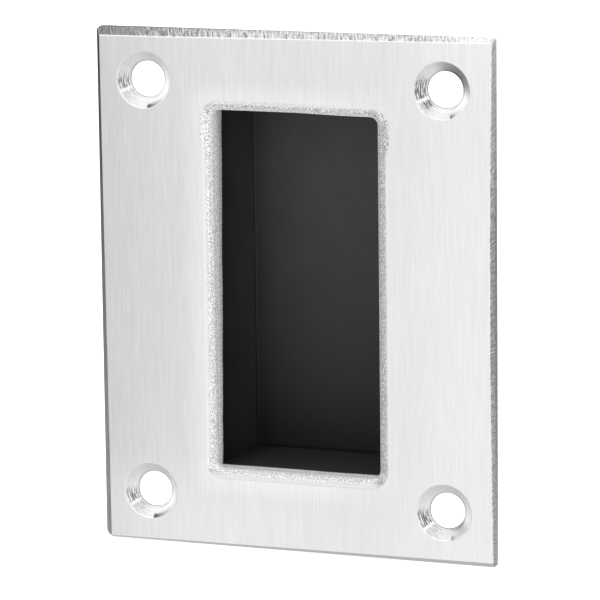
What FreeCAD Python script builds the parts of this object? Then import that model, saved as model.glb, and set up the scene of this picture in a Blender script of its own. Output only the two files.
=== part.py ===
import FreeCAD, Part
import math
import os

from FreeCAD import Vector

# Recessed pull handle for a sliding or swinging door: a flat face plate with four countersunk
# screw holes and a rounded mouth, and a folded sheet-metal box for the fingers, welded behind it.
# Frame: millimetres, +Z up, the face towards -Y. The origin is the centre of the four screw
# holes in the plane of the plate's back, which lies on the door.

# Face plate
plate_width = 101.6
plate_height = 127.0
plate_thickness = 3.2

# Outer corners of the plate, broken by hand on a belt, so no two are alike
corner_top_left = 1.2
corner_top_right = 0.5
corner_bottom_right = 0.8
corner_bottom_left = 2.0

# Ground bevel round the face: how deep it reaches, and its width where each side starts and ends
bevel_depth = 1.6
bevel_top_at_left = 2.2
bevel_top_at_right = 1.1
bevel_right_at_ends = 0.15
bevel_right_at_middle = 0.65
bevel_bottom_at_right = 1.3
bevel_bottom_at_left = 0.75
bevel_left_at_bottom = 1.85
bevel_left_at_top = 1.2
face_corner_radius = 0.4

# Screw holes, countersunk for flat-head screws, each the same way in from its two edges
hole_inset = 12.7
hole_diameter = 8.7
countersink_diameter = 14.0
countersink_angle = 82.0

# Mouth of the recess, with its front edge rounded over for the fingers
mouth_width = 42.0
mouth_height = 88.0
mouth_corner_radius = 2.0
lip_radius = 2.3

# Finger box: a sheet folded at the two long back edges and closed by square ends
recess_depth = 28.6
sheet_thickness = 1.5
bend_radius = 2.0

# Weld between the box and the plate
weld_leg = 2.0
weld_end_radius = 0.5

# How far a cutting tool runs past the faces that it opens, and what counts as the same place
overrun = 1.0
same_place = 0.001

BACKWARDS = Vector(0, 1, 0)
UP = Vector(0, 0, 1)


def corner_arc(before, corner, after, radius):
    """The arc that rounds a corner between two neighbouring points: its start, middle and end."""
    to_before = (before - corner).normalize()
    to_after = (after - corner).normalize()
    half_angle = to_before.getAngle(to_after) / 2
    reach = radius / math.tan(half_angle)
    inwards = (to_before + to_after).normalize()
    middle = corner + inwards * (radius / math.sin(half_angle) - radius)
    return corner + to_before * reach, middle, corner + to_after * reach


def arc_edge(start, middle, end):
    return Part.Arc(start, middle, end).toShape()


def line_edge(start, end):
    return Part.LineSegment(start, end).toShape()


def rectangle(width, height, depth):
    """Corners of an upright rectangle centred on the origin, clockwise from its top left."""
    return [
        Vector(-width / 2, depth, height / 2),
        Vector(width / 2, depth, height / 2),
        Vector(width / 2, depth, -height / 2),
        Vector(-width / 2, depth, -height / 2),
    ]


def rounded_outline(corners, radii, right_side_bow=0.0):
    """A closed wire through four upright corners, each rounded; its right side may bow inwards."""
    top_left, top_right, bottom_right, bottom_left = [
        corner_arc(corners[index - 1], corner, corners[(index + 1) % len(corners)], radii[index])
        for index, corner in enumerate(corners)
    ]
    edges = [
        arc_edge(*top_left),
        line_edge(top_left[-1], top_right[0]),
        arc_edge(*top_right),
    ]
    if right_side_bow:
        bowed_middle = (top_right[-1] + bottom_right[0]) / 2 - Vector(right_side_bow, 0, 0)
        edges.append(arc_edge(top_right[-1], bowed_middle, bottom_right[0]))
    else:
        edges.append(line_edge(top_right[-1], bottom_right[0]))
    edges += [
        arc_edge(*bottom_right),
        line_edge(bottom_right[-1], bottom_left[0]),
        arc_edge(*bottom_left),
        line_edge(bottom_left[-1], top_left[0]),
    ]
    return Part.Wire(edges)


def plate_blank():
    """The plate before it is pierced: square sides at the back, a ground bevel to the face."""
    bevel_start = bevel_depth - plate_thickness
    corner_radii = [corner_top_left, corner_top_right, corner_bottom_right, corner_bottom_left]
    full_outline = rounded_outline(rectangle(plate_width, plate_height, bevel_start), corner_radii)
    sides = Part.Face(full_outline).extrude(BACKWARDS * -bevel_start)

    top_left, top_right, bottom_right, bottom_left = rectangle(
        plate_width, plate_height, -plate_thickness
    )
    face_corners = [
        top_left + Vector(bevel_left_at_top, 0, -bevel_top_at_left),
        top_right + Vector(-bevel_right_at_ends, 0, -bevel_top_at_right),
        bottom_right + Vector(-bevel_right_at_ends, 0, bevel_bottom_at_right),
        bottom_left + Vector(bevel_left_at_bottom, 0, bevel_bottom_at_left),
    ]
    face_outline = rounded_outline(
        face_corners,
        [face_corner_radius] * len(face_corners),
        right_side_bow=bevel_right_at_middle - bevel_right_at_ends,
    )
    bevel = Part.makeLoft([full_outline, face_outline], True, True)
    return sides.fuse(bevel)


def mouth_cutter():
    """The straight hole through the plate that the box stands behind."""
    front = -plate_thickness - overrun
    corners = rectangle(mouth_width, mouth_height, front)
    outline = rounded_outline(corners, [mouth_corner_radius] * len(corners))
    return Part.Face(outline).extrude(BACKWARDS * (overrun - front))


def round_lip(plate):
    """Rounds over the front edge of the mouth."""
    reach_across = mouth_width / 2 + same_place
    reach_up = mouth_height / 2 + same_place
    mouth_front = FreeCAD.BoundBox(
        -reach_across, -plate_thickness - same_place, -reach_up,
        reach_across, -plate_thickness + same_place, reach_up,
    )
    lip_edges = [edge for edge in plate.Edges if mouth_front.isInside(edge.BoundBox)]
    return plate.makeFillet(lip_radius, lip_edges)


def screw_hole(side, end):
    """Cutting tool for the countersunk hole at one side and one end of the plate."""
    x = side * (plate_width / 2 - hole_inset)
    z = end * (plate_height / 2 - hole_inset)
    slope = math.tan(math.radians(countersink_angle / 2))
    wide_radius = countersink_diameter / 2 + overrun * slope
    narrow_radius = hole_diameter / 2
    cone_length = (wide_radius - narrow_radius) / slope
    start = Vector(x, -plate_thickness - overrun, z)
    cone = Part.makeCone(wide_radius, narrow_radius, cone_length, start, BACKWARDS)
    shank = Part.makeCylinder(narrow_radius, plate_thickness + 2 * overrun, start, BACKWARDS)
    return cone.fuse(shank)


def face_plate():
    plate = round_lip(plate_blank().cut(mouth_cutter()).removeSplitter())
    for side in (-1, 1):
        for end in (-1, 1):
            plate = plate.cut(screw_hole(side, end))
    return plate


def folded_block(width, height, radius, front, back):
    """A block with square ends and its two long back edges rounded, as a folded sheet has them."""
    front_left = Vector(-width / 2, front, -height / 2)
    back_left = Vector(-width / 2, back, -height / 2)
    back_right = Vector(width / 2, back, -height / 2)
    front_right = Vector(width / 2, front, -height / 2)
    left_fold = corner_arc(front_left, back_left, back_right, radius)
    right_fold = corner_arc(back_left, back_right, front_right, radius)
    section = Part.Wire([
        line_edge(front_left, left_fold[0]),
        arc_edge(*left_fold),
        line_edge(left_fold[-1], right_fold[0]),
        arc_edge(*right_fold),
        line_edge(right_fold[-1], front_right),
        line_edge(front_right, front_left),
    ])
    return Part.Face(section).extrude(UP * height)


def weld_bead(width, height):
    """Flat-faced weld in the corner between the outside of the box and the back of the plate."""
    foot_corners = rectangle(width + 2 * weld_leg, height + 2 * weld_leg, 0)
    foot = rounded_outline(foot_corners, [weld_leg] * len(foot_corners))
    top_corners = rectangle(width, height, weld_leg)
    top = rounded_outline(top_corners, [weld_end_radius] * len(top_corners))
    return Part.makeLoft([foot, top], True, True)


def recess_box():
    inner_back = recess_depth - plate_thickness
    outer_back = inner_back + sheet_thickness
    outer_width = mouth_width + 2 * sheet_thickness
    outer_height = mouth_height + 2 * sheet_thickness
    outer = folded_block(outer_width, outer_height, bend_radius + sheet_thickness, 0, outer_back)
    cavity = folded_block(mouth_width, mouth_height, bend_radius, -overrun, inner_back)
    return outer.fuse(weld_bead(outer_width, outer_height)).cut(cavity).removeSplitter()


def write(name, shape):
    if not shape.isValid() or len(shape.Solids) != 1:
        raise ValueError(name + " is not one sound solid")
    shape.Solids[0].exportStep("parts/" + name + ".step")


os.makedirs("parts", exist_ok=True)
write("face_plate", face_plate())
write("recess_box", recess_box())
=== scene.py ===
import math

import bmesh
import bpy
import numpy as np
from mathutils import Matrix, Vector, noise
from mathutils.geometry import delaunay_2d_cdt


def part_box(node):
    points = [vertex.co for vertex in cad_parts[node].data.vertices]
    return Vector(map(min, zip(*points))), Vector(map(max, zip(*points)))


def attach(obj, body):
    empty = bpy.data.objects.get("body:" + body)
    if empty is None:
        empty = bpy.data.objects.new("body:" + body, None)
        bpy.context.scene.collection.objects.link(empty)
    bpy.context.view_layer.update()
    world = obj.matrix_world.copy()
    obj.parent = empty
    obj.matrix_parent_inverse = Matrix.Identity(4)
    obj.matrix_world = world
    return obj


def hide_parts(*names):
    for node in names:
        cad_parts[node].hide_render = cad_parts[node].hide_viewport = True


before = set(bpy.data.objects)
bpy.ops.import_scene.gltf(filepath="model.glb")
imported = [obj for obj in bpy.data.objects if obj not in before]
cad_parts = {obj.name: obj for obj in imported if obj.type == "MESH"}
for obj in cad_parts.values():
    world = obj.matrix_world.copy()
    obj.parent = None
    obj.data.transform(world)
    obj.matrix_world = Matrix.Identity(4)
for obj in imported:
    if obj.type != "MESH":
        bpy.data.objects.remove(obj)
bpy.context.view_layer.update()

# Looks of the recessed pull handle. Shapes are worked out in millimetres, in the frame of the
# part: +Z up, the face towards -Y, the origin in the plane of the plate's back.

plate_low, plate_high = (Vector(corner) * 1000 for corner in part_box("face_plate"))
box_high = Vector(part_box("recess_box")[1]) * 1000

MM = 0.001

# Points that are nearer than this are one point
same_place = 1e-4

# Plate; what is given for each corner starts at the top left and goes round clockwise
half_width = plate_high.x
half_height = plate_high.z
face_depth = plate_low.y
bevel_start = face_depth + 1.6
corner_radii = (1.2, 0.5, 0.8, 2.0)
face_insets = ((1.2, 2.2), (0.15, 1.1), (0.15, 1.3), (1.85, 0.75))
face_corner_radius = 0.4
right_side_bow = 0.5

# Edges of the plate: how far they are rounded, the strip of flat face that each rim carries, and
# how close the points lie along them and how many go round a corner
edge_softness = 0.12
holding_width = 0.2
edge_spacing = 0.2
edge_corner_points = 12

# Marks of the grinding belt, which bit deepest into the right edge
teeth_depth = 0.09
teeth_depth_on_right = 0.25
scratch_depth = 0.035
coarse_on_right = 0.6

# Screw holes; a cone's angle is from its axis to its side
hole_inset = 12.7
hole_radius = 4.35
countersink_radius = 7.0
countersink_angle = math.radians(41)
countersink_softness = 0.05
hole_points = 160
cone_rows = 16
ring_pitch = 0.4
ring_depth = 0.006
gouge_depth = 0.12
step_depth = 0.09

# Marks of the countersink tool in each hole: where its chatter starts and where it stops at a
# notch, how strong it is, how torn the cone is past the notch, and where the tool left a step and
# how long that is. Angles are degrees from +X towards +Z
tool_marks = (
    dict(side=-1, end=1, chatter_start=168, notch=205, strength=0.85, torn=0.0, step=275, step_length=20),
    dict(side=1, end=1, chatter_start=152, notch=204, strength=1.0, torn=1.0, step=286, step_length=8),
    dict(side=-1, end=-1, chatter_start=180, notch=214, strength=0.9, torn=0.4, step=272, step_length=24),
    dict(side=1, end=-1, chatter_start=178, notch=220, strength=1.0, torn=0.3, step=284, step_length=5),
)

# Mouth, its rounded lip, and how far the blasting may reach out from its edge
mouth_half_width = 21.0
mouth_half_height = 44.0
mouth_corner_radius = 2.0
lip_radius = 2.3
lip_spacing = 0.21
lip_corner_points = 16
blasted_reach = 5.4

# How wide the blasted band is on each side, how much wider near corners, and how high its grain
# stands
blasted_right, blasted_left = 2.4, 1.0
blasted_top, blasted_bottom = 1.9, 1.1
blasted_more_at_corners = 1.2
broad_grain_height = 0.004
fine_grain_height = 0.008

# The lip is ground open a little more on the right, and less along the right half of the top
opened_on_right = 0.42
narrowed_at_top = 0.32

# Finger box
sheet = 1.5
bend_radius = 2.0
inner_fold = 0.35
inner_back = box_high.y - sheet
ground_radius = 0.5

# How many points it has round a fold, up to its middle, from front to back, and across its back
# and its ends
fold_points = 12
upright_points = 14
depth_points = 10
back_points = 8
end_points = 15

# Weld round the box, laid in ripples
weld_leg = 2.0
weld_corner_radius = 0.25
weld_corner_points = 14
weld_spacing = 0.3
weld_rows = 10
weld_ripple = 1.7
weld_root = 0.2

# Viewpoint of the photograph: its place in metres, its yaw, pitch and roll in degrees, and its lens
camera_place = (0.3478, -0.8877, 0.1713)
camera_turns = (21.36, 10.28, 0.69)
camera_lens = 241.3
camera_sensor = 36

# Finishes of the plate's faces and masks painted on its points, and the box's two finishes
FACE, EDGE, COUNTERSINK, BACK, PAINTED_SHADE_EDGE = range(5)
PLATE_MASKS = ("matt", "along", "across", "coarse", "chatter", "radius", "speckle")
PAINTED, WELDED = range(2)


class Shape:
    """Points and faces of one piece, with painted masks and a finish for each face."""

    def __init__(self, mask_names=()):
        self.points = []
        self.faces = []
        self.finishes = []
        self.masks = {name: [] for name in mask_names}
        self.count = 0

    def grid(self, rows, finish, closed=True, **masks):
        """Quads between rows of points; a closed row runs round to its own start.

        The finish is one for all quads, or one for each column of them. A mask has a value for
        each point, or for each column of points, and is 0 if it isn't given.
        """
        rows = np.asarray(rows, float)
        size = rows.shape[:2]
        index = np.arange(size[0] * size[1]).reshape(size) + self.count
        if closed:
            index = np.concatenate([index, index[:, :1]], axis=1)
        quads = np.stack([index[:-1, :-1], index[:-1, 1:], index[1:, 1:], index[1:, :-1]], axis=-1)
        self.finishes += np.broadcast_to(finish, quads.shape[:2]).ravel().tolist()
        self.faces += quads.reshape(-1, 4).tolist()
        self.points.append(rows.reshape(-1, 3))
        for name, values in self.masks.items():
            values.append(np.broadcast_to(masks.get(name, 0.0), size).ravel())
        self.count += size[0] * size[1]

    def make(self, name, fills, materials):
        """The finished object; fills are pairs of a depth and the finish of the flat face there."""
        mesh = bpy.data.meshes.new(name)
        mesh.from_pydata(np.concatenate(self.points).tolist(), [], self.faces)
        mesh.polygons.foreach_set("material_index", self.finishes)
        for mask_name, values in self.masks.items():
            layer = mesh.attributes.new(mask_name, "FLOAT", "POINT")
            layer.data.foreach_set("value", np.concatenate(values).astype(np.float32))
        solid = bmesh.new()
        solid.from_mesh(mesh)
        bmesh.ops.remove_doubles(solid, verts=solid.verts, dist=same_place)
        for depth, finish in fills:
            fill_flat(solid, depth, finish)
        bmesh.ops.recalc_face_normals(solid, faces=solid.faces)
        bmesh.ops.scale(solid, vec=(MM, MM, MM), verts=solid.verts)
        solid.to_mesh(mesh)
        solid.free()
        mesh.shade_smooth()
        for material in materials:
            mesh.materials.append(material)
        piece = bpy.data.objects.new(name, mesh)
        bpy.context.scene.collection.objects.link(piece)
        return piece


def fill_flat(solid, depth, finish):
    """Fills the flat face at a depth, between its outline and the rims of its holes."""
    rim = [
        edge for edge in solid.edges
        if edge.is_boundary and all(abs(corner.co.y - depth) < same_place for corner in edge.verts)
    ]
    corners = list({corner: None for edge in rim for corner in edge.verts})
    number = {corner: index for index, corner in enumerate(corners)}
    places = [Vector((corner.co.x, corner.co.z)) for corner in corners]
    links = [tuple(number[corner] for corner in edge.verts) for edge in rim]
    triangles = np.array(delaunay_2d_cdt(places, links, [], 0, 1e-7)[2])

    # A triangle belongs to the face if a line from its middle crosses the rims an odd number of times
    flat = np.array(places)
    middles = flat[triangles].mean(axis=1)
    x, z = middles[:, :1], middles[:, 1:]
    start, end = flat[np.array(links)].transpose(1, 2, 0)
    spans = (start[1] > z) != (end[1] > z)
    rise = np.where(start[1] == end[1], 1, end[1] - start[1])
    crossing = start[0] + (end[0] - start[0]) * (z - start[1]) / rise
    inside = (spans & (x < crossing)).sum(axis=1) % 2 == 1
    for triangle in triangles[inside].tolist():
        face = solid.faces.new([corners[index] for index in triangle])
        face.material_index = finish


def grain(points, period, seed):
    """Smooth noise between -1 and 1 at points in millimetres."""
    shift = Vector((seed * 17.3, seed * 5.1, seed * 9.7))
    flat = points.reshape(-1, 3)
    values = [noise.noise(Vector(point) / period + shift) for point in flat.tolist()]
    return np.array(values).reshape(points.shape[:-1])


def grain_along(along, period, seed):
    """Smooth noise between -1 and 1 along a line."""
    return grain(np.stack([along, along * 0, along * 0], axis=-1), period, seed)


def smooth(value, low, high):
    """0 at low, 1 at high, smooth between."""
    share = np.clip((value - low) / (high - low), 0, 1)
    return share * share * (3 - 2 * share)


def rounded_outline(corners, radii, arc_count, line_counts, right_bow=0.0):
    """Points (x, z) of a closed outline through four corners, clockwise from its top left."""
    corners = [np.array(corner, float) for corner in corners]
    arcs = []
    for index, corner in enumerate(corners):
        to_before = corners[index - 1] - corner
        to_before /= np.linalg.norm(to_before)
        to_after = corners[(index + 1) % 4] - corner
        to_after /= np.linalg.norm(to_after)
        half_angle = math.acos(to_before @ to_after) / 2
        inwards = (to_before + to_after) / np.linalg.norm(to_before + to_after)
        centre = corner + inwards * radii[index] / math.sin(half_angle)
        start = corner + to_before * radii[index] / math.tan(half_angle) - centre
        first_angle = math.atan2(start[1], start[0])
        angles = first_angle - np.linspace(0, math.pi - 2 * half_angle, arc_count)
        arcs.append(centre + radii[index] * np.stack([np.cos(angles), np.sin(angles)], axis=-1))
    outline = []
    for index, arc in enumerate(arcs):
        share = np.linspace(0, 1, line_counts[index] + 2)[1:-1, None]
        side = arc[-1] * (1 - share) + arcs[(index + 1) % 4][0] * share
        if index == 1:
            side[:, 0] -= (right_bow * (1 - (2 * share - 1) ** 2))[:, 0]
        outline += [arc, side]
    return np.concatenate(outline)


def rectangle(width, height):
    """Corners (x, z) of an upright rectangle about the origin, clockwise from its top left."""
    return [(-width, height), (width, height), (width, -height), (-width, -height)]


def side_counts(half_span, half_length, spacing):
    """How many points each side of a rectangle gets, clockwise from its top."""
    return [int(2 * half / spacing) for half in (half_span, half_length)] * 2


def inward_normals(outline):
    """Unit vectors (x, z) that point into a clockwise outline."""
    ahead = np.roll(outline, -1, axis=0) - np.roll(outline, 1, axis=0)
    ahead /= np.linalg.norm(ahead, axis=1)[:, None]
    return np.stack([ahead[:, 1], -ahead[:, 0]], axis=-1)


def run_along(outline):
    """How far along an outline each of its points lies."""
    return np.concatenate([[0], np.cumsum(np.linalg.norm(np.diff(outline, axis=0), axis=1))])


def at_depth(outline, depth):
    """Outline points (x, z) as points (x, y, z), with one depth or a depth for each."""
    return np.stack([outline[:, 0], np.broadcast_to(depth, len(outline)), outline[:, 1]], axis=-1)


def softened(before, edge, after, reach):
    """Three rows that round over an edge which runs between two faces."""
    def towards(target):
        away = target - edge
        return edge + away * (reach / np.linalg.norm(away, axis=-1)[..., None])
    start, end = towards(before), towards(after)
    return [start, (start + 2 * edge + end) / 4, end]


def add_plate_sides(shape):
    """The plate's square sides and the bevel that was ground by hand, with its grinding marks."""
    line_counts = side_counts(half_width, half_height, edge_spacing)
    full = rounded_outline(
        rectangle(half_width, half_height), corner_radii, edge_corner_points, line_counts
    )
    face_corners = [
        (side * (half_width - sideways), end * (half_height - upwards))
        for side, end, (sideways, upwards) in zip((-1, 1, 1, -1), (1, 1, -1, -1), face_insets)
    ]
    face = rounded_outline(
        face_corners, [face_corner_radius] * 4, edge_corner_points, line_counts, right_side_bow
    )
    inwards = inward_normals(full)
    along = run_along(full)

    on_top = smooth(full[:, 1], half_height - 1, half_height)
    on_right = smooth(full[:, 0], half_width - 1, half_width)
    coarse = np.maximum(on_top, coarse_on_right * on_right)
    # The left edge, apart from its coarse top, takes the finish darkened with painted shade
    on_left = (full[:, 0] < 0.5 - half_width) & (coarse < 0.5)
    teeth = 0.45 + 0.8 * grain_along(along, 0.45, seed=1) + 0.5 * grain_along(along, 1.7, seed=2)
    teeth = np.clip(teeth, 0, 1.2) * coarse
    teeth *= teeth_depth + (teeth_depth_on_right - teeth_depth) * on_right
    scratches = np.clip(0.4 + grain_along(along, 0.6, seed=3), 0, 1) * coarse * scratch_depth
    clear_of_corners = sum(
        smooth(half - abs(place), 1.0, 3.0)
        for half, place in ((half_width, full[:, 0]), (half_height, full[:, 1]))
    )
    clear_of_corners = np.minimum(clear_of_corners, 1)
    face = face + inwards * (teeth * clear_of_corners)[:, None]
    bevel_foot = full + inwards * (scratches * clear_of_corners)[:, None]

    back = at_depth(full, 0.0)
    side = at_depth(bevel_foot, bevel_start)
    edge = at_depth(face, face_depth)
    rows = [at_depth(full + inwards * (edge_softness + holding_width), 0.0)]
    rows += softened(at_depth(full + inwards, 0.0), back, side, edge_softness)
    rows += [(back + side) / 2]
    rows += softened(back, side, edge, edge_softness)
    rows += [side * (1 - share) + edge * share for share in (0.3, 0.55, 0.8)]
    rows += softened(side, edge, at_depth(face + inwards, face_depth), edge_softness)
    rows += [at_depth(face + inwards * (edge_softness + holding_width), face_depth)]
    rows = np.stack(rows)
    for band, finish in (
        (rows[:2], BACK),
        (rows[1:-1], np.where(on_left, PAINTED_SHADE_EDGE, EDGE)),
        (rows[-2:], FACE),
    ):
        shape.grid(band, finish, along=along, across=band[..., 1], coarse=coarse)


def mouth_profile():
    """The mouth's section, from the back through its wall and lip to the edge of the blasted band.

    Each entry says how far out from the wall a row lies, how deep, and how much its surface faces
    into the mouth and to the front.
    """
    profile = [(holding_width, 0.0, 0, -1)]
    profile += [(0.0, depth, 1, 0) for depth in (0.0, -0.02, -0.3, -0.6)]
    for angle in np.linspace(0, math.pi / 2, int(lip_radius * math.pi / 2 / lip_spacing) + 1):
        facing_in, facing_front = math.cos(angle), math.sin(angle)
        reach = lip_radius * (1 - facing_in)
        profile.append((reach, face_depth + lip_radius * (1 - facing_front), facing_in, facing_front))
    flat_steps = int((blasted_reach - lip_radius) / lip_spacing)
    profile += [(lip_radius + lip_spacing * (step + 1), face_depth, 0, 1) for step in range(flat_steps)]
    return np.array(profile)


def add_mouth(shape):
    """The mouth's wall, its lip rounded over for the fingers, and the blasted band round it."""
    line_counts = side_counts(
        mouth_half_width - mouth_corner_radius, mouth_half_height - mouth_corner_radius, lip_spacing
    )
    corners = rectangle(mouth_half_width, mouth_half_height)
    wall = rounded_outline(corners, [mouth_corner_radius] * 4, lip_corner_points, line_counts)
    outwards = -inward_normals(wall)
    profile = mouth_profile()
    rows = np.stack([at_depth(wall + outwards * reach, depth) for reach, depth, _, _ in profile])
    reach, depth, facing_in, facing_front = profile.T[..., None]

    # The blasting reaches farther out on the sides, most of all on the right and near the corners
    across = outwards[:, 0] ** 2
    upper_corner = smooth(wall[:, 1], 34, 38)
    either_corner = np.maximum(upper_corner, smooth(-wall[:, 1], 40, 43))
    sides = np.where(
        wall[:, 0] > 0,
        blasted_right + blasted_more_at_corners * upper_corner,
        blasted_left + blasted_more_at_corners * either_corner,
    )
    ends = np.where(wall[:, 1] > 0, blasted_top, blasted_bottom)
    band = sides * across + ends * (1 - across)
    ragged = 0.2 * grain(rows, 2.6, seed=4) + 0.25 * grain(rows, 0.9, seed=5)
    speckle = 1 - smooth(reach + ragged, band - 0.5, band + 0.7)
    matt_band = np.maximum(band, 2.2)
    matt = 1 - smooth(reach + 0.4 * ragged, matt_band, matt_band + 0.4)
    in_front = depth < -same_place
    matt *= (1 - smooth(reach, blasted_reach - 1.4, blasted_reach - 0.6)) * in_front

    # Its grain stands proud of the lip, but never in front of the face
    height = broad_grain_height * grain(rows, 0.5, seed=6)
    height += fine_grain_height * grain(rows, 0.3, seed=7)
    height *= speckle * matt * smooth(-depth, 0.5, 1.6)
    push = np.stack([
        -outwards[:, 0] * facing_in,
        np.broadcast_to(-facing_front, height.shape),
        -outwards[:, 1] * facing_in,
    ], axis=-1)
    rows = rows + push * height[..., None]
    rows[..., 1] = np.maximum(rows[..., 1], face_depth)

    ground = (1 - smooth(reach, 2.5, blasted_reach - 0.5)) * in_front
    right_half = smooth(wall[:, 0], -2, 16) * smooth(wall[:, 1], 40, mouth_half_height)
    rows[..., 0] += opened_on_right * smooth(wall[:, 0], 14, mouth_half_width) * ground
    rows[..., 2] -= narrowed_at_top * right_half * ground
    shape.grid(rows, FACE, matt=matt, across=rows[..., 1], speckle=speckle)


def add_screw_hole(shape, side, end, chatter_start, notch, strength, torn, step, step_length):
    """A countersunk hole, with chatter rings over part of its cone, a notch and a step."""
    angles = np.linspace(0, 2 * math.pi, hole_points, endpoint=False)
    centre = np.array([side * (half_width - hole_inset), 0, end * (half_height - hole_inset)])
    outwards = np.stack([np.cos(angles), angles * 0, np.sin(angles)], axis=-1)
    cone_foot = face_depth + (countersink_radius - hole_radius) / math.tan(countersink_angle)
    soft = countersink_softness

    def ring(radius, depth):
        return centre + outwards * radius + np.array([0, depth, 0])

    foot, rim = ring(hole_radius, cone_foot), ring(countersink_radius, face_depth)
    rows = [ring(hole_radius + holding_width, 0), ring(hole_radius + soft, 0), ring(hole_radius, -soft)]
    rows += softened(rows[-1], foot, rim, soft)
    first_cone_row = len(rows)
    rows += [foot + (rim - foot) * share for share in np.linspace(0.05, 0.96, cone_rows)]
    rows += softened(foot, rim, ring(countersink_radius + 1, face_depth), soft)
    rows += [ring(countersink_radius + holding_width, face_depth)]
    rows = np.stack(rows)

    degrees = np.degrees(angles)
    radius = np.linalg.norm((rows - centre)[..., [0, 2]], axis=-1)
    on_cone = smooth(radius - hole_radius, 0.1, 0.5) * smooth(countersink_radius - radius, 0.05, 0.3)
    on_cone[:first_cone_row] = 0
    up_to_notch = smooth(degrees - chatter_start, -14, 18) * (1 - smooth(degrees - notch, -4, -1))
    past_notch = smooth(degrees - notch, 3, 6) * (1 - smooth(degrees - notch, 12, 62))
    chatter = (up_to_notch + 0.6 * past_notch) * on_cone * strength
    wander = grain(rows, 2.2, seed=8 + side + 2 * end)
    rings = np.sin(radius * 2 * math.pi / ring_pitch + 1.5 * wander) * chatter
    patch = torn * smooth(degrees - notch, 6, 10) * (1 - smooth(degrees - notch, 24, 32))
    patch = patch * smooth(6.3 - radius, 0.0, 0.5) * on_cone
    gouge = np.exp(-((degrees - notch) / 2.6) ** 2) * smooth(radius, 5.0, 6.2) * on_cone
    past_step = (degrees - step) % 360
    step_cut = np.exp(-past_step / step_length) * smooth(past_step, 0, 3)
    step_cut = step_cut * smooth(radius, 5.7, 6.3) * on_cone
    # Painted shade: a dark arc near the foot of the cone, on its right side
    painted_shade_arc = np.exp(-((radius - 4.85) / 0.16) ** 2) * smooth(np.cos(angles), 0.1, 0.7) * on_cone

    off_cone = -outwards * math.cos(countersink_angle) + np.array([0, -math.sin(countersink_angle), 0])
    lift = ring_depth * rings - gouge_depth * gouge - step_depth * step_cut
    rows = rows + off_cone * lift[..., None]
    # The coarse mask darkens the tool's step and torn patch, and also carries the painted shade arc
    masks = {
        "along": np.broadcast_to(angles * countersink_radius, radius.shape),
        "coarse": np.minimum(1.5 * step_cut + 0.3 * patch + 0.65 * painted_shade_arc, 1),
        "chatter": np.maximum(chatter, patch),
        "radius": radius,
    }
    for part, finish in ((slice(0, 4), BACK), (slice(3, -2), COUNTERSINK)):
        shape.grid(rows[part], finish, **{name: mask[part] for name, mask in masks.items()})
    shape.grid(rows[-3:], FACE)


def u_section(half_span, back, radius, fold_count):
    """Points (x, y) of a sheet folded at two back edges, from its left front to its right front."""
    turn = np.linspace(0, math.pi / 2, fold_count)
    left = np.stack([
        -half_span + radius * (1 - np.cos(turn)), back - radius * (1 - np.sin(turn))
    ], axis=-1)
    flat = np.linspace(-half_span + radius, half_span - radius, back_points)[1:-1]
    flat = np.stack([flat, np.full(len(flat), back)], axis=-1)
    right = left[::-1] * (-1, 1)
    return np.concatenate([left, flat, right])


def shell_rows(half_span, half_length, back, radius, edge):
    """Rows up a folded shell open at the front; edge gives its shape where an end closes it."""
    profile = [(half_length - drop, inset) for drop, inset in edge]
    profile += [(z, 0.0) for z in np.linspace(profile[-1][0] - 0.6, 0, upright_points)[:-1]]
    profile += [(0.0, 0.0)] + [(-z, inset) for z, inset in profile[::-1]]
    depths = np.concatenate([[0, 0.03], np.linspace(0, back - radius, depth_points)[1:-1]])
    rows = []
    for z, inset in profile:
        fold = u_section(half_span - inset, back - inset, max(radius - inset, 0.05), fold_points)
        left = np.stack([np.full(len(depths), -half_span + inset), depths], axis=-1)
        section = np.concatenate([left, fold, left[::-1] * (-1, 1)])
        rows.append(np.column_stack([section[:, 0], section[:, 1], np.full(len(section), z)]))
    return np.stack(rows)


def end_rows(row):
    """Rows that close an end: from the folded section straight across to its own mirror image."""
    half = len(row) // 2
    left, right = row[:half], row[::-1][:half]
    return np.stack([left * (1 - share) + right * share for share in np.linspace(0, 1, end_points)])


def add_box(shape):
    """The finger box: inside, a fine slit where each end meets the fold; outside, ground edges."""
    # Pairs of how far below the end a row lies, and how far in from the walls
    slit = [(0, 0.9), (0, 0.12), (0, 0.04), (0.03, -0.12), (0.16, -0.12), (0.2, -0.02), (0.26, 0)]
    ground = [(0, 1.1)] + [
        (ground_radius * (1 - math.cos(turn)), ground_radius * (1 - math.sin(turn)))
        for turn in np.linspace(0, math.pi / 2, 5)
    ]
    inner = shell_rows(mouth_half_width, mouth_half_height, inner_back, inner_fold, slit)
    outer = shell_rows(
        mouth_half_width + sheet, mouth_half_height + sheet, inner_back + sheet, bend_radius + sheet, ground
    )
    for rows in (inner, outer):
        shape.grid(rows, PAINTED, closed=False)
        for row in (rows[0], rows[-1]):
            shape.grid(end_rows(row), PAINTED, closed=False)


def add_weld(shape):
    """A hand-laid fillet weld in overlapping ripples, round the box where it meets the plate."""
    half_span, half_length = mouth_half_width + sheet, mouth_half_height + sheet
    line_counts = side_counts(half_span, half_length, weld_spacing)
    corners = rectangle(half_span, half_length)
    root = rounded_outline(corners, [weld_corner_radius] * 4, weld_corner_points, line_counts)
    outwards = -inward_normals(root)
    along = run_along(root)
    wander = grain_along(along, 9.0, seed=11)
    rows = []
    for turn in np.linspace(0, math.pi / 2, weld_rows):
        crest = math.sin(2 * turn)
        ripple = np.abs(np.sin(math.pi * (along + 1.1 * crest) / weld_ripple + wander))
        size = weld_leg * (0.82 + 0.12 * ripple + 0.05 * wander) * (1 - 0.16 * crest)
        rows.append(at_depth(root + outwards * (size * math.cos(turn))[:, None], size * math.sin(turn)))
    under = root - outwards * weld_root
    rows += [at_depth(under, rows[-1][:, 1]), at_depth(under, 0.0), rows[0]]
    shape.grid(rows, WELDED)


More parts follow.
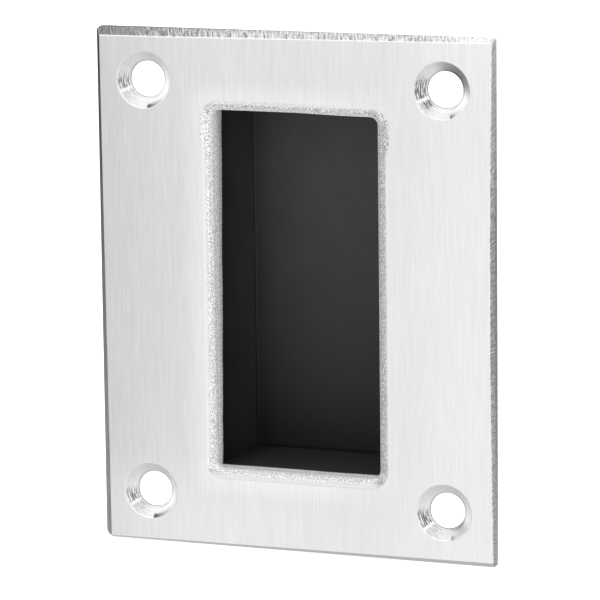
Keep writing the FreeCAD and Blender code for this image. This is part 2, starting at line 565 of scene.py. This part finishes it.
class Nodes:
    """A short way to write node trees: each call adds a node and returns one of its outputs."""

    def __init__(self, tree):
        self.tree = tree

    def give(self, socket, value):
        """Links a node's output to a socket, or sets a plain value on it."""
        if isinstance(value, bpy.types.NodeSocket):
            self.tree.links.new(value, socket)
        else:
            socket.default_value = value

    def add(self, kind, output=0, inputs=None, **settings):
        node = self.tree.nodes.new(kind)
        for key, value in settings.items():
            setattr(node, key, value)
        for key, value in (inputs or {}).items():
            self.give(node.inputs[key], value)
        return node.outputs[output]

    def math(self, operation, first, second=0.0, clamp=False):
        return self.add("ShaderNodeMath", operation=operation, use_clamp=clamp, inputs={0: first, 1: second})

    def times(self, first, *others):
        for other in others:
            first = self.math("MULTIPLY", first, other)
        return first

    def plus(self, first, *others):
        for other in others:
            first = self.math("ADD", first, other)
        return first

    def size_of(self, value):
        """A value without its sign."""
        return self.math("ABSOLUTE", value)

    def clamped(self, value):
        """A value kept between 0 and 1."""
        return self.math("ADD", value, 0.0, clamp=True)

    def ramp(self, value, from_low, from_high, to_low=0.0, to_high=1.0, kind="SMOOTHSTEP"):
        """A level that goes from to_low to to_high while the value goes from from_low to from_high."""
        ends = {0: value, 1: from_low, 2: from_high, 3: to_low, 4: to_high}
        return self.add("ShaderNodeMapRange", interpolation_type=kind, inputs=ends)

    def line(self, value, from_low, from_high, to_low, to_high):
        """The same as a ramp, but straight."""
        return self.ramp(value, from_low, from_high, to_low, to_high, "LINEAR")

    def vary(self, texture, low, high):
        """A level from low to high that follows a noise, which lies mostly between 0.3 and 0.7."""
        return self.line(texture, 0.3, 0.7, low, high)

    def profile(self, value, *stops):
        """A level that goes smoothly from stop to stop, each a value and the level there."""
        level = stops[0][1]
        for (start, before), (end, after) in zip(stops, stops[1:]):
            if after != before:
                level = self.plus(self.ramp(value, start, end, 0.0, after - before), level)
        return level

    def mix(self, factor, first, second):
        return self.add("ShaderNodeMix", data_type="FLOAT", inputs={0: factor, 2: first, 3: second})

    def grey(self, value):
        return self.add("ShaderNodeCombineColor", inputs={0: value, 1: value, 2: value})

    def vector(self, x, y, z):
        return self.add("ShaderNodeCombineXYZ", inputs={0: x, 1: y, 2: z})

    def parts(self, vector):
        """The x, y and z of a vector."""
        separate = self.tree.nodes.new("ShaderNodeSeparateXYZ")
        self.give(separate.inputs[0], vector)
        return separate.outputs

    def attribute(self, name):
        return self.add("ShaderNodeAttribute", output=2, attribute_name=name)

    def place(self, x_scale, y_scale, z_scale):
        """The point on the object in millimetres, stretched by a scale each way."""
        point = self.add("ShaderNodeTexCoord", output=3)
        scale = (x_scale / MM, y_scale / MM, z_scale / MM)
        return self.add("ShaderNodeVectorMath", operation="MULTIPLY", inputs={0: point, 1: scale})

    def point(self):
        """The x, y and z of the point on the object, in millimetres."""
        return self.parts(self.place(1, 1, 1))

    def from_mouth(self):
        """Distance out from the mouth's edge, in millimetres."""
        x, _, z = self.point()
        beyond = [
            self.math("MAXIMUM", self.plus(self.size_of(place), -half), 0.0)
            for place, half in ((x, mouth_half_width), (z, mouth_half_height))
        ]
        squares = [self.math("POWER", distance, 2.0) for distance in beyond]
        return self.math("SQRT", self.plus(*squares))

    def noise(self, place, detail=2.0, roughness=0.5):
        inputs = {"Vector": place, "Scale": 1.0, "Detail": detail, "Roughness": roughness}
        return self.add("ShaderNodeTexNoise", inputs=inputs)

    def bump(self, height, distance):
        """Normals of a surface whose height varies over a distance in millimetres."""
        return self.add("ShaderNodeBump", inputs={"Distance": distance * MM, "Height": height})


class Material(Nodes):
    """A new material, with the nodes of its tree and the sockets of its shader."""

    def __init__(self, name):
        self.material = bpy.data.materials.new(name)
        self.material.use_nodes = True
        super().__init__(self.material.node_tree)

    def shade(self, **sockets):
        """Gives sockets of the shader, whose names are written with _ for a space, their values."""
        shader = self.tree.nodes["Principled BSDF"]
        for name, value in sockets.items():
            self.give(shader.inputs[name.replace("_", " ")], value)
        return self.material


def brushed_tone(n, hair):
    """Tone of the brushed face: upright hairs and streaks, lighter round the mouth, and painted light and
    shade over the plate.
    """
    x, _, z = n.point()
    streak = n.noise(n.place(1.1, 1.0, 0.06))
    cloud = n.noise(n.place(0.05, 0.05, 0.03))
    out = n.from_mouth()
    tone = n.plus(
        n.line(hair, 0.25, 0.75, -0.062, 0.062),
        n.vary(streak, -0.018, 0.018),
        n.vary(cloud, -0.014, 0.014),
        n.ramp(out, 1.5, 9.0, 0.88, 0.84),
        n.times(n.ramp(out, 2.0, 8.0, 0.06, 0.0), n.ramp(x, 5.0, 21.0, 1.0, 0.0)),
    )
    # Painted light and shade: darker towards the left, lighter at the far right, at the bottom left and
    # along the top
    painted_light_across = n.plus(n.line(x, -48, -26, 0.895, 0.985), n.line(x, 22, 42, -0.02, 0.045))
    painted_light_at_ends = n.plus(
        n.times(n.ramp(z, -38, -58), n.line(x, -45, 45, 0.13, -0.02)),
        n.line(z, 34, 60, 1.0, 1.03),
    )
    return n.times(tone, painted_light_across, painted_light_at_ends)


def blasted_tone(n, speck, speckle, inner):
    """Tone of the blasted lip, by how far a point lies out from each side of the mouth, with painted light
    and shade.
    """
    x, _, z = n.point()
    out_right = n.plus(x, -mouth_half_width)
    out_left = n.plus(n.times(x, -1.0), -mouth_half_width)
    out_top = n.plus(z, -mouth_half_height)
    out_bottom = n.plus(n.times(z, -1.0), -mouth_half_height)
    past_ends = n.plus(n.size_of(z), -mouth_half_height)

    # Painted shade gives the left side a thin dark line, and the lower side a dark foot below which painted
    # light brightens it; painted light also brightens the left side farther out
    left = n.profile(out_left, (0.0, 0.0), (0.45, -0.2), (0.55, -0.2), (0.75, 0.0))
    left = n.plus(n.times(left, n.ramp(past_ends, 0.4, -0.2)), n.ramp(out_left, 0.9, 1.6, 0.98, 1.2))
    bottom = n.profile(
        out_bottom, (0.0, 1.0), (0.2, 0.79), (0.75, 0.79), (1.1, 1.04), (1.2, 1.04), (2.1, 1.19)
    )
    flat = n.ramp(n.from_mouth(), lip_radius - 0.3, lip_radius + 0.1, 1.0, 0.87)
    tone = n.mix(speckle, 0.66, n.line(speck, 0.41, 0.6, 0.4, 1.0))
    tone = n.times(tone, flat, left, bottom)

    # Painted light makes the mouth's wall lightest at its bottom, and painted shade darker at its top and on
    # the right
    wall = n.times(
        n.ramp(out_bottom, -0.4, -1.0, 1.5, 1.2),
        n.ramp(out_top, -1.0, -0.3, 1.0, 0.74),
        n.ramp(out_right, -1.0, 0.0, 1.0, 0.68),
    )
    tone = n.clamped(n.times(tone, n.mix(inner, 1.0, wall)))

    # Painted shade makes the right side darker, the upper side has painted shade with a painted highlight on
    # its bright outer edge, and their corner is lighter
    on_right = n.times(
        n.ramp(out_right, -0.4, 0.4),
        n.ramp(out_right, 3.15, 2.95, 0.15, 1.0),
        n.ramp(past_ends, -0.5, -3.0, 0.4, 1.0),
    )
    right = n.mix(on_right, 1.0, n.ramp(out_right, 1.0, 3.0, 0.73, 0.88))
    top = n.profile(out_top, (-0.4, 1.0), (0.6, 0.9), (1.5, 0.9), (1.9, 1.14))
    lighter_corner = n.times(n.ramp(out_right, 0.2, 2.0), n.ramp(out_top, -1.4, 0.4))
    return n.clamped(n.times(tone, right, top, n.mix(lighter_corner, 1.0, 1.28)))


def face_finish():
    """Steel brushed upright over the face, blasted to a matt grain round the mouth."""
    n = Material("brushed_and_blasted_steel")
    matt = n.attribute("matt")
    speckle = n.attribute("speckle")
    inner = n.ramp(n.attribute("across"), -3.0, -2.2)
    hair = n.noise(n.place(4.4, 1.0, 0.09), detail=3.0, roughness=0.7)
    speck = n.noise(n.place(3.2, 3.2, 3.2), roughness=0.6)
    height = n.mix(matt, n.times(hair, 0.08), n.times(speck, speckle))
    return n.shade(
        Base_Color=n.grey(n.mix(matt, brushed_tone(n, hair), blasted_tone(n, speck, speckle, inner))),
        Metallic=n.mix(matt, 1.0, n.mix(inner, 0.8, 0.05)),
        Roughness=n.mix(matt, n.vary(hair, 0.27, 0.37), 0.5),
        Normal=n.bump(height, 0.05),
    )


def edge_finish():
    """Ground steel: coarse marks run across the top and right edges, the bottom edge is smooth."""
    n = Material("ground_steel_edge")
    along = n.attribute("along")
    across = n.attribute("across")
    coarse = n.attribute("coarse")
    x, _, z = n.point()
    slanted = n.plus(along, n.times(across, 0.35))
    mark = n.noise(n.vector(n.times(slanted, 2.3), n.times(across, 0.5), 0.0), detail=3.0, roughness=0.6)
    fleck = n.noise(n.place(2.4, 2.4, 2.4), roughness=0.7)
    both = n.plus(n.times(mark, 0.65), n.times(fleck, 0.35))

    on_top = n.times(
        n.math("GREATER_THAN", z, half_height - 2.5), n.math("LESS_THAN", x, half_width - 0.3)
    )
    # Painted light: the top edge darker on the left and lighter towards its right end, the right edge
    # lighter towards its two ends
    top_edge_painted_light = n.plus(n.line(x, -50, -8, 0.22, 0.57), n.ramp(x, 33, 46, 0.0, 0.24))
    level = n.mix(on_top, n.line(n.size_of(z), 15, 60, 0.1, 0.72), top_edge_painted_light)
    contrast = n.mix(on_top, 0.38, n.ramp(x, -46, -30, 0.12, 0.34))
    marked = n.clamped(n.plus(level, n.times(contrast, n.line(both, 0.38, 0.62, -1.0, 1.0))))
    # Painted shade darkens the square side behind the bevel, most of all towards the left
    side_wall_painted_shade = n.ramp(across, bevel_start - 0.1, bevel_start + 0.15, 1.0, n.ramp(x, -50, 45, 0.15, 0.9))
    tone = n.times(n.mix(coarse, 0.75, marked), n.mix(on_top, 1.0, side_wall_painted_shade))
    # A painted highlight: a bright line along the crest where the top edge meets the face
    crest = n.times(on_top, n.ramp(across, face_depth + 0.2, face_depth + 0.04, 0.0, 0.8))
    return n.shade(
        Base_Color=n.grey(n.mix(crest, tone, 1.0)),
        Metallic=1,
        Roughness=n.mix(coarse, 0.26, n.vary(mark, 0.45, 0.28)),
        Normal=n.bump(n.times(both, n.plus(n.times(coarse, 0.95), 0.05)), 0.08),
    )


def painted_shade_edge_finish():
    """The left edge, dull, and darkened all along by painted shade, more so towards its top."""
    n = Material("steel_edge_with_painted_shade")
    upwards = n.point()[2]
    streak = n.noise(n.place(1.6, 1.6, 0.12))
    # Painted shade: dark all along the edge, darker towards its top
    tone = n.times(n.line(upwards, -60, 60, 0.2, 0.04), n.vary(streak, 0.85, 1.15))
    return n.shade(
        Base_Color=n.grey(tone), Roughness=0.6, Specular_IOR_Level=0, Normal=n.bump(streak, 0.02)
    )


def countersink_finish():
    """Turned steel, with the tool's fine rings, torn where the tool chattered."""
    n = Material("turned_steel")
    radius = n.attribute("radius")
    along = n.attribute("along")
    ring = n.noise(n.vector(n.times(radius, 2.6), 0.0, 0.0), roughness=0.6)
    fleck = n.noise(n.vector(n.times(radius, 1.8), n.times(along, 0.55), 0.0), roughness=0.7)
    wave = n.math("SINE", n.plus(n.times(radius, 2 * math.pi / ring_pitch), n.times(fleck, 5.0)))
    clean = n.line(ring, 0.32, 0.56, 0.74, 1.0)
    torn = n.times(n.line(wave, -0.9, 0.5, 0.26, 0.92), n.line(fleck, 0.38, 0.58, 0.35, 1.0))
    tone = n.times(
        n.mix(n.attribute("chatter"), clean, torn),
        # Darker at the tool's step and torn patch, and in the painted shade arc
        n.mix(n.attribute("coarse"), 1.0, 0.16),
        # Painted shade: a thin dark line at the rim of the hole
        n.ramp(radius, hole_radius + 0.05, hole_radius + 0.24, 0.3, 1.0),
    )
    return n.shade(Base_Color=n.grey(tone), Metallic=1, Roughness=0.42, Normal=n.bump(ring, 0.02))


def back_finish():
    """The back as it came from the mill: dull, with faint rolling lines and a few scuffs."""
    n = Material("mill_finish_steel")
    rolled = n.noise(n.place(0.25, 1.0, 0.02), detail=4.0, roughness=0.6)
    cloud = n.noise(n.place(0.06, 0.06, 0.05), detail=3.0)
    tone = n.plus(n.vary(rolled, 0.5, 0.62), n.vary(cloud, -0.05, 0.05))
    return n.shade(
        Base_Color=n.grey(tone),
        Metallic=1,
        Roughness=n.vary(cloud, 0.36, 0.5),
        Normal=n.bump(rolled, 0.02),
    )


def inside_paint_tone(n, wear, at_foot):
    """Tone of the black paint inside, with painted light and shade and a painted reflection of the dark left
    wall.
    """
    x, depth, z = n.point()
    on_back = n.ramp(depth, inner_back - 1.0, inner_back - 0.4)
    # Painted light: the side walls lighter deeper in and higher up
    wall = n.times(n.line(depth, 4, inner_back, 0.01, 0.05), n.line(z, -44, 30, 0.75, 1.0))
    # Painted reflection and light: the back wall darker near the left wall, mirroring it, and lighter higher
    # up
    back = n.times(n.line(z, -40, 26, 0.01, 0.043), n.ramp(x, -21, -15, 0.65, 1.0))
    # Painted light and shade on the floor at the foot: darker near the left wall and along the back
    foot = n.times(n.ramp(x, -21, -12, 0.6, 1.0), n.mix(on_back, 0.036, 0.008))
    painted_light_and_shade = n.mix(at_foot, n.mix(on_back, wall, back), foot)
    return n.times(painted_light_and_shade, n.vary(wear, 0.9, 1.1))


def box_finish():
    """Black paint that stops unevenly just inside the mouth, over bare steel."""
    n = Material("black_paint_over_steel")
    x, depth, z = n.point()
    ragged = n.noise(n.place(0.05, 0.05, 0.07), detail=3.0)
    orange_peel = n.noise(n.place(0.55, 0.55, 0.55))
    wear = n.noise(n.place(0.12, 0.12, 0.12), detail=3.0)
    speck = n.noise(n.place(2.8, 2.8, 2.8), detail=1.0)
    at_foot = n.ramp(z, -43.4, -43.7)

    paint_line = n.plus(n.line(z, -44, 44, 2.3, 4.9), n.vary(ragged, -0.3, 0.3))
    outside = n.math(
        "MAXIMUM",
        n.math("GREATER_THAN", n.size_of(x), mouth_half_width + sheet / 2),
        n.math("GREATER_THAN", n.size_of(z), mouth_half_height + sheet / 2),
    )
    painted = n.math("MAXIMUM", n.ramp(n.math("SUBTRACT", depth, paint_line), -0.35, 0.12), outside)

    grained = n.line(speck, 0.36, 0.62, 0.36, 0.86)
    # Painted shade darkens the bare steel deeper into the mouth, and painted light brightens it at the foot
    bare = n.clamped(n.times(grained, n.mix(at_foot, n.line(depth, 0.0, 3.4, 1.35, 0.7), 1.6)))
    paint = n.mix(outside, inside_paint_tone(n, wear, at_foot), n.vary(wear, 0.03, 0.055))
    return n.shade(
        Base_Color=n.grey(n.mix(painted, bare, paint)),
        Specular_IOR_Level=0.3,
        Roughness=n.mix(painted, 0.6, n.vary(wear, 0.52, 0.6)),
        Normal=n.bump(orange_peel, 0.012),
    )


def weld_finish():
    """Bare weld metal, greyed by heat, with the box's paint run part of the way over it."""
    n = Material("weld_metal")
    ragged = n.noise(n.place(0.4, 0.4, 0.4), detail=3.0)
    tint = n.noise(n.place(0.7, 0.7, 0.7), detail=3.0)
    depth = n.point()[1]
    painted = n.ramp(n.plus(depth, n.vary(ragged, -0.3, 0.3)), 1.4, 1.6)
    return n.shade(
        Base_Color=n.grey(n.mix(painted, n.vary(tint, 0.3, 0.55), 0.013)),
        Metallic=n.math("SUBTRACT", 1.0, painted),
        Roughness=n.vary(tint, 0.34, 0.5),
        Normal=n.bump(tint, 0.05),
    )


def set_camera():
    """The photograph's viewpoint: a long lens, a little to the right of the plate and above it."""
    yaw, pitch, roll = (math.radians(turn) for turn in camera_turns)
    level_right = Vector((math.cos(yaw), math.sin(yaw), 0))
    forward = Vector(
        (-math.sin(yaw) * math.cos(pitch), math.cos(yaw) * math.cos(pitch), -math.sin(pitch))
    )
    level_down = forward.cross(level_right)
    right = level_right * math.cos(roll) + level_down * math.sin(roll)
    down = level_down * math.cos(roll) - level_right * math.sin(roll)
    turned = Matrix((right, -down, -forward)).transposed().to_4x4()
    data = bpy.data.cameras.new("photo_camera")
    data.sensor_width = camera_sensor
    data.lens = camera_lens
    camera = bpy.data.objects.new("photo_camera", data)
    camera.matrix_world = Matrix.Translation(camera_place) @ turned
    bpy.context.scene.collection.objects.link(camera)
    bpy.context.scene.camera = camera


def studio_light(n):
    """Light from each direction of a white tent.

    It is brightest above and, lower down, in front and a little to the left. It is dimmer near the
    floor, low behind on the right and straight in front, and it glows far on the left.
    """
    sideways, depth, height = n.parts(n.add("ShaderNodeTexCoord", output=0))
    in_front = n.ramp(depth, 0.15, -0.25)
    from_left = n.times(n.line(sideways, -0.55, -0.2, 0.4, 1.5), n.ramp(sideways, -0.28, 0.06, 1.0, 0.66))
    behind_right = n.times(n.ramp(sideways, 0.1, 0.35), n.ramp(depth, 0.35, 0.7))
    far_left = n.times(n.ramp(sideways, -0.72, -0.9, 0.0, 0.32), n.ramp(height, -0.24, -0.12))
    bounce = n.times(n.ramp(height, -0.2, -0.45), n.ramp(depth, 0.0, -0.6, 0.0, 0.4))

    low = n.times(n.mix(in_front, 1.0, from_left), n.ramp(height, -0.25, -0.6, 0.92, 0.6))
    low = n.plus(n.times(n.plus(low, bounce), n.mix(behind_right, 1.0, 0.42)), far_left)
    high = n.plus(n.ramp(depth, -0.2, -0.7, 1.18, 1.35), n.times(far_left, n.ramp(depth, -0.1, 0.1)))
    high = n.times(high, n.ramp(depth, -0.7, -0.95, 1.0, 0.72))
    return n.mix(n.ramp(height, -0.12, 0.12), low, high)


def set_studio():
    """The tent as a world that lights the piece and looks plain white in the picture."""
    world = bpy.data.worlds.new("studio")
    world.use_nodes = True
    tree = world.node_tree
    tree.nodes.clear()
    n = Nodes(tree)
    seen = n.add("ShaderNodeLightPath", output=0)
    colour = n.grey(n.mix(seen, studio_light(n), 1.0))
    output = tree.nodes.new("ShaderNodeOutputWorld")
    n.give(output.inputs[0], n.add("ShaderNodeBackground", inputs={0: colour}))
    bpy.context.scene.world = world
    bpy.context.scene.view_settings.view_transform = "Standard"


def add_floor():
    """A plain pale floor that glows a little, and that the metal doesn't mirror."""
    n = Material("pale_floor")
    bpy.ops.mesh.primitive_plane_add(size=6, location=(0, 0, plate_low.z * MM))
    floor = bpy.context.object
    floor.name = "floor"
    floor.data.materials.append(n.shade(
        Base_Color=(0.9, 0.9, 0.9, 1),
        Roughness=0.8,
        Emission_Color=(1, 1, 1, 1),
        Emission_Strength=0.6,
    ))
    floor.visible_glossy = False


set_camera()
set_studio()
add_floor()

plate_shape = Shape(PLATE_MASKS)
add_plate_sides(plate_shape)
add_mouth(plate_shape)
for marks in tool_marks:
    add_screw_hole(plate_shape, **marks)
plate = plate_shape.make(
    "plate_with_lip",
    [(face_depth, FACE), (0.0, BACK)],
    [face_finish(), edge_finish(), countersink_finish(), back_finish(), painted_shade_edge_finish()],
)
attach(plate, "root")
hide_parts("face_plate")

box_shape = Shape()
add_box(box_shape)
add_weld(box_shape)
box = box_shape.make("painted_box", [(0.0, PAINTED)], [box_finish(), weld_finish()])
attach(box, "root")
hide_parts("recess_box")
